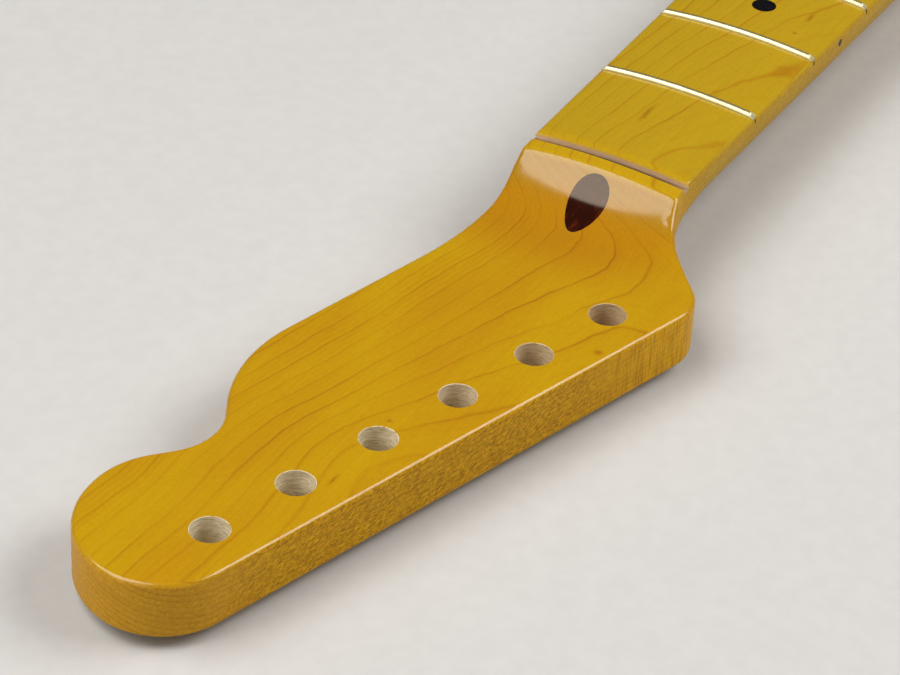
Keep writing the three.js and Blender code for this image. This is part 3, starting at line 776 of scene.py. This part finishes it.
def startMaterial(name):
    # an empty material, what adds nodes to it, and the place on the neck in millimetres
    material = bpy.data.materials.new(name)
    material.use_nodes = True
    material.node_tree.nodes.clear()
    add = partial(addNode, material.node_tree)
    spot = add("TexCoord").outputs["Object"]
    place = add("Mapping", {"Vector": spot, "Location": tuple(-1000 * nutAt), "Scale": (1000, 1000, 1000)})
    return material, add, place


def stretchedPattern(add, place, scale, detail, roughness=0.5, distortion=0.0):
    stretched = add("VectorMath", [place, scale], operation="MULTIPLY")
    return add("TexNoise", {"Vector": stretched, "Scale": 1.0, "Detail": detail, "Roughness": roughness,
                            "Distortion": distortion})


def distanceFrom(add, place, middle, reach):
    # how far a place lies from a spot seen from above, in reaches along and across
    away = add("VectorMath", [place, (*middle, 0)], operation="SUBTRACT")
    shrunk = add("VectorMath", [away, (1 / reach[0], 1 / reach[1], 0)], operation="MULTIPLY")
    return add("VectorMath", [shrunk], operation="LENGTH")


maple = dict(
    # the board's colour, paler and more olive than the amber, is a painted haze of reflection on its lacquer
    amber="#ba9207", deepAmber="#b68607", scoop="#b17b05", underLip="#a97e05", lip="#be970a", board="#b09017",
    # the walls' and the end grain's tones are painted lighter than the face's amber, as painted light on the
    # sides
    wall="#d5a00e", tip="#c99824", wallFleck="#744c04", hornFleck="#8c5a08", tipFleck="#9c5c14",
    faceLine="#9a5805", wallLine="#84480a", knot="#8e4808",
    # where the tints and the marks of each part of the neck begin and end
    top=(-15.0, -9.0), walls=(0.35, 0.85, 1.0, 0.0), scoopMiddle=(18, 0), scoopReach=(24, 30),
    scoopEnds=(0.9, 1.7), underLipEnds=(lipFront + 5, lipFront + 11), lipEnds=(lipFront, lipFront + 1.5),
    boardEnds=(-4.0, 2.0), horn=(5.0, 22.0, 0.0), pastHorn=(45.0, 85.0, 1.0, 0.0), tipFrom=(160.0, 186.0),
    heelFace=(heelEnd + 1, heelEnd + 4, 1.0, 0.0), shaftWall=(-10.0, 30.0, 0.4, 1.0),
    # patterns
    clouds=((0.018, 0.05, 0.05), 2.0), cloudEnds=(0.35, 0.65), cloudPull=0.8,
    flecks=((0.75, 1.5, 2.4), 2.0, 0.6, 0.8), fleckLean=21, fleckEnds=(0.4, 0.62),
    fleckDepth=(0.68, 0.35), streaks=((2.2, 2.2, 0.12), 3.0, 0.65), streakEnds=(0.45, 0.66),
    fibres=((0.03, 2.6, 2.6), 4.0, 0.6), pores=1.3, poreShare=0.45, fibreShade=(0.3, 0.7, 0.9, 1.1),
    # growth lines
    wander=0.08, wanderScale=0.16, lineWidth=(80.0, 140.0, 0.055, 0.11), latePower=5.0,
    ringStrength=(0.5, 1.0), strongRing=6.0, sameRing=0.3,
    patches=((0.035, 0.1, 0.1), 3.0), patchStrength=(0.3, 0.65, 0.35, 1.0),
    softTip=(115.0, 160.0, 1.0, 0.65), fineLines=3.0, fineWidth=0.2, fineNear=(0.4, 1.2, 0.45, 0.12),
    finePatches=(0.4, 0.6, 0.3, 1.0), faceLines=(0.66, 0.95), wallLines=0.8, lateWood=(0.22, 0.35),
    # gloss
    roughness=(0.3, 0.7, 0.38, 0.46), coat=(1.0, 0.55), wallCoat=0.03,
    knots=[(65.3, 30.9, 1.7, 1.7), (113.4, 4.3, 1, 1), (-79, 12.5, 1, 1), (-19.4, -0.9, 0.8, 0.8),
           (-88.5, 12.6, 4, 1), (-21.5, -1.4, 7, 1), (138, 4.9, 3.4, 0.7)],
    knotStrength=0.6,
)


def mapleRings(add, place):
    # shares of ring line and of late wood at a place, each ring with a strength of its own
    along, _, height = add("SeparateXYZ", [place]).outputs
    field = add("Attribute", attribute_name="growthRing").outputs["Fac"]
    above = add("ADD", [height, float(head["drop"])])
    rings = add("MULTIPLY_ADD", [above, -1 / grain["ringRise"], field])
    noise = add("TexNoise", {"Vector": place, "Scale": maple["wanderScale"], "Detail": 1.0})
    wander = add("MapRange", [noise, 0.0, 1.0, -maple["wander"], maple["wander"]])
    level = add("ADD", [rings, wander])
    nearest = add("ROUND", [level])
    gap = add("PINGPONG", [level, 0.5])
    width = add("MapRange", [along, *maple["lineWidth"]])
    line = add("MapRange", [gap, 0.0, width, 1.0, 0.0], interpolation_type="SMOOTHSTEP")
    late = add("POWER", [add("FRACT", [level]), maple["latePower"]])
    chance = add("TexWhiteNoise", [nearest], noise_dimensions="1D")
    ringStrength = add("MapRange", [chance, 0.0, 1.0, *maple["ringStrength"]])
    isStrong = add("COMPARE", [nearest, maple["strongRing"], maple["sameRing"]])
    strength = add("MAXIMUM", [ringStrength, isStrong])
    patches = stretchedPattern(add, place, *maple["patches"])
    for reading, ends in ((patches, maple["patchStrength"]), (along, maple["softTip"])):
        strength = add("MULTIPLY", [strength, add("MapRange", [reading, *ends])])
    main = add("MULTIPLY", [line, strength])

    # thinner lines between the rings, clear beside the strongest ring and faint elsewhere
    fineLevel = add("MULTIPLY", [level, maple["fineLines"]])
    fineGap = add("PINGPONG", [fineLevel, 0.5])
    fine = add("MapRange", [fineGap, 0.0, maple["fineWidth"], 1.0, 0.0], interpolation_type="SMOOTHSTEP")
    pastStrong = add("SUBTRACT", [level, maple["strongRing"]])
    fromStrong = add("ABSOLUTE", [pastStrong])
    for reading, ends in ((fromStrong, maple["fineNear"]), (patches, maple["finePatches"])):
        fine = add("MULTIPLY", [fine, add("MapRange", [reading, *ends])])
    lateShare = add("MULTIPLY", [late, strength])
    return add("MAXIMUM", [main, fine]), lateShare


def mapleFace(add, place, x, clouds, topShare):
    # soft clouds of amber, warmer in the scoop and under the lip, paler on the board as a painted haze of
    # reflection
    cloudShare = add("MapRange", [clouds, *maple["cloudEnds"]])
    tone = add("Mix", [cloudShare, maple["amber"], maple["deepAmber"]], data_type="RGBA")
    awayScoop = distanceFrom(add, place, maple["scoopMiddle"], maple["scoopReach"])
    softScoop = add("MULTIPLY_ADD", [clouds, maple["cloudPull"], awayScoop])
    shares = {}
    for tint, reading, kind in (("scoop", softScoop, "SMOOTHSTEP"), ("underLip", x, "LINEAR"),
                                ("lip", x, "LINEAR"), ("board", x, "SMOOTHSTEP")):
        ends = [*maple[tint + "Ends"], topShare, 0.0]
        shares[tint] = add("MapRange", [reading, *ends], interpolation_type=kind)
        tone = add("Mix", [shares[tint], tone, maple[tint]], data_type="RGBA")
    return tone, shares


def mapleWalls(add, place, x):
    # short wavy flecks, standing streaks by the horn, pinker end grain at the tip and heel, on a tone painted
    # lighter than the face's as painted light
    leaning = add("VectorRotate", {"Vector": place, "Angle": -math.radians(maple["fleckLean"])},
                  rotation_type="Y_AXIS")
    waves = stretchedPattern(add, leaning, *maple["flecks"])
    flecks = add("MapRange", [waves, *maple["fleckEnds"]])
    standing = stretchedPattern(add, place, *maple["streaks"])
    streaks = add("MapRange", [standing, *maple["streakEnds"]])
    pastHorn = add("MapRange", [x, *maple["pastHorn"]], interpolation_type="SMOOTHSTEP")
    hornShare = add("MapRange", [x, *maple["horn"], pastHorn])
    marks = add("Mix", [hornShare, flecks, streaks])
    tipShare = add("MapRange", [x, *maple["tipFrom"]], interpolation_type="SMOOTHSTEP")
    endShare = add("MAXIMUM", [tipShare, add("MapRange", [x, *maple["heelFace"]])])
    fleckDepth = add("MapRange", [endShare, 0.0, 1.0, *maple["fleckDepth"]])
    fleckShare = add("MULTIPLY", [marks, fleckDepth])
    # the walls' tone and the end grain's, painted lighter than the face's amber as painted light
    wallToneWithPaintedLight = add("Mix", [endShare, maple["wall"], maple["tip"]], data_type="RGBA")
    fleckTone = add("Mix", [hornShare, maple["wallFleck"], maple["hornFleck"]], data_type="RGBA")
    fleckTone = add("Mix", [endShare, fleckTone, maple["tipFleck"]], data_type="RGBA")
    return add("Mix", [fleckShare, wallToneWithPaintedLight, fleckTone], data_type="RGBA")


def mapleKnots(add, place):
    # shares of knots and dark streaks, darkest in their middles
    marked = 0.0
    for along, across, length, width in maple["knots"]:
        away = distanceFrom(add, place, (along, across), (length, width))
        spot = add("MapRange", [away, 0.0, 1.0, maple["knotStrength"], 0.0], interpolation_type="SMOOTHSTEP")
        marked = add("MAXIMUM", [marked, spot])
    return marked


def lacqueredMaple():
    # Hard maple under tinted gloss lacquer: amber wood with thin brown growth lines and fine
    # flecks, under a clear coat that mirrors the lamps. The coat is thin on the walls, where it
    # would mirror the pale floor.
    material, add, place = startMaterial("lacquered_maple")
    x, _, z = add("SeparateXYZ", [place]).outputs
    normal = add("SeparateXYZ", [add("TexCoord").outputs["Normal"]])
    facing = add("ABSOLUTE", [normal.outputs[2]])
    wallShare = add("MapRange", [facing, *maple["walls"]], interpolation_type="SMOOTHSTEP")
    topShare = add("MapRange", [z, *maple["top"]])
    clouds = stretchedPattern(add, place, *maple["clouds"])
    tone, shares = mapleFace(add, place, x, clouds, topShare)
    # the walls take their own tone, painted lighter than the face's as painted light on the sides
    wallMix = add("MULTIPLY", [wallShare, add("MapRange", [x, *maple["shaftWall"]])])
    tone = add("Mix", [wallMix, tone, mapleWalls(add, place, x)], data_type="RGBA")

    # growth rings, clearest in the scoop and on the board, then knots in the face
    line, late = mapleRings(add, place)
    clearer = add("MAXIMUM", [shares["scoop"], shares["board"]])
    faceLines = add("MapRange", [clearer, 0.0, 1.0, *maple["faceLines"]])
    lineStrength = add("MapRange", [wallShare, 0.0, 1.0, faceLines, maple["wallLines"]])
    lineShare = add("MULTIPLY", [line, lineStrength])
    lateWood = add("MapRange", [wallShare, 0.0, 1.0, *maple["lateWood"]])
    ringShare = add("MULTIPLY_ADD", [late, lateWood, lineShare], use_clamp=True)
    ringTone = add("Mix", [wallShare, maple["faceLine"], maple["wallLine"]], data_type="RGBA")
    tone = add("Mix", [ringShare, tone, ringTone], data_type="RGBA")
    knotShare = add("MULTIPLY", [mapleKnots(add, place), topShare])
    tone = add("Mix", [knotShare, tone, maple["knot"]], data_type="RGBA")

    # fibres along the grain, in the colour and as a faint relief under the coat
    fibres = stretchedPattern(add, place, *maple["fibres"])
    pores = add("TexNoise", {"Vector": place, "Scale": maple["pores"], "Detail": 2.0, "Distortion": 0.8})
    both = add("Mix", [maple["poreShare"], fibres, pores])
    shade = add("MapRange", [both, *maple["fibreShade"]])
    tone = add("VectorMath", [tone, shade], operation="MULTIPLY")
    relief = add("Bump", {"Strength": 0.15, "Distance": 0.00005, "Height": fibres})
    topCoat = add("MapRange", [shares["board"], 0.0, 1.0, *maple["coat"]])
    surface = add("BsdfPrincipled", {
        "Base Color": tone, "Roughness": add("MapRange", [clouds, *maple["roughness"]]),
        "Normal": relief, "Specular IOR Level": 0.08,
        "Coat Weight": add("MapRange", [wallShare, 0.0, 1.0, topCoat, maple["wallCoat"]]),
        "Coat Roughness": 0.14, "Coat IOR": 1.5,
    })
    add("OutputMaterial", [surface])
    return material


cutMaple = dict(
    pale="#f4e8cc", brown="#b8a67a", ringLine="#8c7254", ringDepth=0.5,
    fibres=((0.4, 0.4, 3.0), 4.0, 0.65, 0.7), fibreEnds=(0.35, 0.68), roughness=0.75,
    boardBefore=-1.0,
    # each tint's colour, a stain, painted shade or painted light, the cuts that have it, and the reading and
    # range that it follows
    stainsAndPaintedShading=[
        ("#d8b08c", "nutSlot", "depth", (0.0, 0.1, 0.0, 0.7)),
        # painted shade: darker towards the slot's floor, and on the floor itself
        ("#3a2a18", "nutSlot", "depth", (1.8, 2.4, 0.0, 0.8)),
        ("#8a6c40", "nutSlot", "height", (-2.9, -3.0, 0.0, 0.8)),
        # lacquer crept over the slot's top edge, painted brighter than the board's amber as painted light
        ("#f0ca30", "nutSlot", "depth", (0.6, 1.0, 0.9, 0.0)),
        ("#54400e", "board", "height", (-5.0, -4.5, 0.0, 0.9)),
        ("#a87434", "head", "along", (40.0, 120.0, 0.55, 0.0)),
    ],
)


def rawMaple():
    # Bare maple where a drill or saw has cut it: pale and dull, with fine grey-brown cut fibres.
    # The nut slot is darker towards its floor and on it, as painted shade, and lacquer has crept over its top
    # edge, painted brighter than the board's amber as painted light. The cuts in the shaft are dark from 4.5
    # mm under the crown downwards, and the holes by the horn have some of its tint.
    material, add, place = startMaterial("raw_cut_maple")
    line, _ = mapleRings(add, place)
    fibres = stretchedPattern(add, place, *cutMaple["fibres"])
    share = add("MapRange", [fibres, *cutMaple["fibreEnds"]])
    tone = add("Mix", [share, cutMaple["pale"], cutMaple["brown"]], data_type="RGBA")
    darker = add("MULTIPLY", [line, cutMaple["ringDepth"]])
    tone = add("Mix", [darker, tone, cutMaple["ringLine"]], data_type="RGBA")
    x, y, z = add("SeparateXYZ", [place]).outputs
    squared = add("MULTIPLY", [y, y])
    crown = add("MULTIPLY", [squared, -0.5 / board["radius"]])
    readings = dict(along=x, height=z, depth=add("SUBTRACT", [crown, z]))
    slotMiddle = scoop["slotWidth"] / 2
    cuts = dict(
        board=add("LESS_THAN", [x, cutMaple["boardBefore"]]),
        nutSlot=add("COMPARE", [x, slotMiddle, 2 * slotMiddle]),
        head=add("GREATER_THAN", [x, scoopEnd]),
    )
    for colour, cut, reading, ends in cutMaple["stainsAndPaintedShading"]:
        stainAndShading = add("MapRange", [readings[reading], *ends])
        stainAndShadingShare = add("MULTIPLY", [stainAndShading, cuts[cut]])
        tone = add("Mix", [stainAndShadingShare, tone, colour], data_type="RGBA")
    relief = add("Bump", {"Strength": 0.5, "Distance": 0.0001, "Height": fibres})
    add("OutputMaterial", [add("BsdfPrincipled", {
        "Base Color": tone, "Roughness": cutMaple["roughness"], "Normal": relief})])
    return material


walnut = dict(
    deep="#2a0b03", streak="#5a2008", pore="#0c0302", reflection="#fff1dc",
    fibres=((0.09, 0.8, 0.6), 5.0, 0.6, 0.6), streakEnds=(0.48, 0.8),
    pores=(0.5, 5.0, 5.0), poreEnds=(0.1, 0.3, 0.7, 0.0),
)


def lacqueredWalnut():
    # Walnut under the same tinted gloss lacquer: almost black, with red-brown streaks along the
    # dowel and a warm, clear reflection.
    material, add, place = startMaterial("lacquered_walnut")
    fibres = stretchedPattern(add, place, *walnut["fibres"])
    share = add("MapRange", [fibres, *walnut["streakEnds"]], interpolation_type="SMOOTHSTEP")
    tone = add("Mix", [share, walnut["deep"], walnut["streak"]], data_type="RGBA")
    porePlace = add("VectorMath", [place, walnut["pores"]], operation="MULTIPLY")
    pores = add("TexVoronoi", {"Vector": porePlace, "Scale": 1.0})
    tone = add("Mix", [add("MapRange", [pores, *walnut["poreEnds"]]), tone, walnut["pore"]], data_type="RGBA")
    relief = add("Bump", {"Strength": 0.04, "Distance": 0.0001, "Height": fibres})
    add("OutputMaterial", [add("BsdfPrincipled", {
        "Base Color": tone, "Roughness": 0.1, "Normal": relief,
        "Specular IOR Level": 0.54, "Specular Tint": walnut["reflection"]})])
    return material


# Drawn nickel silver wire, dressed and polished: a warm pale metal, with fine file marks along
# its crown that spread the highlight
nickelSilver = dict(
    colours=("#e9e2b2", "#dad09e"), patches=(0.35, 3.0), ends=(0.35, 0.7),
    marks=((9.0, 0.25, 9.0), 4.0), relief=(0.15, 0.00004), glossFrom="marks", gloss=(0.36, 0.48),
    shader={"Metallic": 1.0},
)

# Black celluloid rod, levelled with the wood: deep black with a soft gloss
celluloid = dict(
    colours=("#08080b", "#17151a"), patches=(0.9, 4.0), ends=(0.35, 0.7),
    glossFrom="patches", gloss=(0.26, 0.36),
    shader={"Specular IOR Level": 0.1, "Coat Weight": 0.05, "Coat Roughness": 0.08, "Coat IOR": 1.5},
)

# Turned mild steel, oiled and bare: mid grey with fine rings from the lathe and dull patches
steel = dict(
    colours=("#a4a5a6", "#7d7a74"), patches=(0.5, 4.0), ends=(0.4, 0.7),
    marks=((7.0, 0.3, 0.3), 3.0), relief=(0.25, 0.00005), glossFrom="patches", gloss=(0.28, 0.5),
    shader={"Metallic": 1.0},
)

# Matt painted board: pale and even, with slight patches from the roller
paint = dict(
    colours=("#c4c4c3", "#c8c8c7"), patches=(0.25, 3.0), ends=(0.3, 0.7), glossFrom=None,
    shader={"Roughness": 0.85},
)


def patchedMaterial(name, finish):
    # two tones in patches, with the marks of a tool as relief where there are any, and a gloss
    # that follows the marks or the patches
    material, add, place = startMaterial(name)
    scale, detail = finish["patches"]
    patterns = dict(patches=add("TexNoise", {"Vector": place, "Scale": scale, "Detail": detail}))
    share = add("MapRange", [patterns["patches"], *finish["ends"]])
    inputs = {"Base Color": add("Mix", [share, *finish["colours"]], data_type="RGBA"), **finish["shader"]}
    if "marks" in finish:
        strength, depth = finish["relief"]
        patterns["marks"] = stretchedPattern(add, place, *finish["marks"])
        inputs["Normal"] = add("Bump", {"Strength": strength, "Distance": depth, "Height": patterns["marks"]})
    if finish["glossFrom"]:
        inputs["Roughness"] = add("MapRange", [patterns[finish["glossFrom"]], 0.3, 0.7, *finish["gloss"]])
    add("OutputMaterial", [add("BsdfPrincipled", inputs)])
    return material


print("materials")
mapleWood = lacqueredMaple()
cutWood = rawMaple()
walnutWood = lacqueredWalnut()
fretMetal = patchedMaterial("polished_nickel_silver", nickelSilver)
dotPlastic = patchedMaterial("black_celluloid", celluloid)
bareSteel = patchedMaterial("machined_steel", steel)

print("neck blank")
blank = buildBlank()

print("frets")
wireTree = fretTree(fretMetal)
fretWires = buildFrets("fret_wires", wireTree)
fretCuts = buildFrets("fret_cuts", wireTree, cutting["room"])

print("dots")
rodTree = dotTree(dotPlastic)
dotPieces, dotCuts = [], []
for kind, places in dotPlaces().items():
    rods = buildDots(kind + "_dots", rodTree, places, dotSizes(kind))
    dotPieces.append(carve(rods, blank, "INTERSECT"))
    dotCuts.append(buildDots(kind + "_cuts", rodTree, places, dotSizes(kind, cutting["room"])))
faceDots, sideDots = dotPieces

print("plug, stripe and truss rod nut")
nutSlot = boxPiece("nut_slot", (0, -board["nutWidth"], -scoop["slotDepth"]),
                   (scoop["slotWidth"], board["nutWidth"], head["drop"]))
plugPiece = carve(carve(dowelPiece("walnut_plug"), blank, "INTERSECT"), nutSlot)
plugCut = dowelPiece("plug_cut", cutting["plugRoom"])
rodEdge = rod["diameter"] / 2 + stripe["underRod"]
stripePiece = carve(channelPiece("walnut_stripe", -rodEdge), blank, "INTERSECT")
stripeCut = channelPiece("stripe_cut", rodEdge, cutting["room"])
slottedNut = buildRodNut("slotted_rod_nut")

print("neck and its holes")
neckPiece = addObject("maple_neck", blank.data.copy())
tools = (
    nutSlot, fretCuts, *dotCuts,
    turnedPiece("tuner_cuts", tunerHoles()),
    turnedPiece("screw_cuts", screwHoles(), fineness["screwSides"]),
    turnedPiece("bore_cut", [rodNutBore()]),
    plugCut, stripeCut,
)
for tool in tools:
    carve(neckPiece, tool)


def nodesNamed(start):
    return [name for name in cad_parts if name.startswith(start)]


pieces = (
    (neckPiece, [mapleWood, cutWood], "neck", "maple", ["neck_body"]),
    (fretWires, [fretMetal], "neck", "nickel_silver", nodesNamed("fret_")),
    (faceDots, [dotPlastic], "neck", "black_dot", nodesNamed("face_dot")),
    (sideDots, [dotPlastic], "neck", "black_dot", nodesNamed("side_dot")),
    (plugPiece, [walnutWood], "neck", "walnut", ["headstock_plug"]),
    (stripePiece, [walnutWood], "neck", "walnut", ["back_stripe"]),
    (slottedNut, [bareSteel], "rod_nut", "steel", ["truss_rod_nut"]),
)
blankSurface = BVHTree.FromPolygons(
    [vertex.co for vertex in blank.data.vertices], [face.vertices for face in blank.data.polygons])
for piece, materials, *_ in pieces:
    piece.data.materials.clear()
    for material in materials:
        piece.data.materials.append(material)
    piece.data.shade_smooth()
    piece.data.set_sharp_from_angle(angle=math.radians(fineness["sharpAngle"]))
    piece.data.polygons.foreach_set("material_index", [0] * len(piece.data.polygons))
    if piece not in (fretWires, slottedNut):
        markCuts(piece, blankSurface)
addGrowthRings(neckPiece)
drop(blank, *tools)

for piece, _, body, slot, nodes in pieces:
    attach(piece, body)
    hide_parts(*nodes)
    print(piece.name, len(piece.data.polygons))
for name in ("truss_rod", "rod_anchor", "rod_washer"):
    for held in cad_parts[name].material_slots:
        held.material = bareSteel

print("floor, lights and camera")
floorHalf = 3
floorMesh = bpy.data.meshes.new("floor")
floorMesh.from_pydata(
    [(x * floorHalf, y * floorHalf, 0) for x, y in ((-1, -1), (1, -1), (1, 1), (-1, 1))], [], [(0, 1, 2, 3)])
floorMesh.materials.append(patchedMaterial("pale_painted_board", paint))
addObject("floor", floorMesh)

view = dict(
    place=(1.04477, 0.28105, 0.4510), way=(-0.7218, -0.3765, -0.5807), roll=3.52, lens=131.7, sensor=36)
camera = addObject("camera", bpy.data.cameras.new("camera"))
camera.data.lens, camera.data.sensor_width = view["lens"], view["sensor"]
camera.location = view["place"]
camera.rotation_mode = "QUATERNION"
levelTurn = Vector(view["way"]).to_track_quat("-Z", "Y")
camera.rotation_quaternion = levelTurn @ Quaternion((0, 0, 1), math.radians(view["roll"]))
bpy.context.scene.camera = camera

# Lamps by the way to their middle from a point on the scoop, their size and their brightness
lampColour = "#fffbf6"
lamps = dict(
    key=dict(way=(0.35, -0.40, 0.85), distance=1.6, size=(1.17, 1.25), brightness=4.8),
    rim=dict(way=(-0.38, 0.6, 0.68), distance=1.5, size=(1.0, 0.92), brightness=6.5),
    front=dict(way=(0.85, -0.2, 0.48), distance=1.6, size=(1.4, 0.9), brightness=1.6),
)
scoopPlace = Vector(toModel((lipFront + scoopRun / 2, 0, headFace / 2)))
for name, lamp in lamps.items():
    light = addObject(name, bpy.data.lights.new(name, "AREA"))
    light.data.shape, light.data.size, light.data.size_y = "RECTANGLE", *lamp["size"]
    light.data.energy = lamp["brightness"] * math.pi * lamp["size"][0] * lamp["size"][1]
    light.data.color = toLinear(lampColour)[:3]
    way = Vector(lamp["way"]).normalized()
    light.location = scoopPlace + way * lamp["distance"]
    light.rotation_mode = "QUATERNION"
    light.rotation_quaternion = way.to_track_quat("Z", "Y")
    light.visible_camera = False

sky = dict(colour="#f2f5ff", brightness=0.05)
world = bpy.data.worlds.new("studio")
world.use_nodes = True
background = world.node_tree.nodes["Background"].inputs
background[0].default_value, background[1].default_value = toLinear(sky["colour"]), sky["brightness"]
bpy.context.scene.world = world
bpy.context.scene.view_settings.view_transform = "Standard"  # keeps the lacquer's full amber
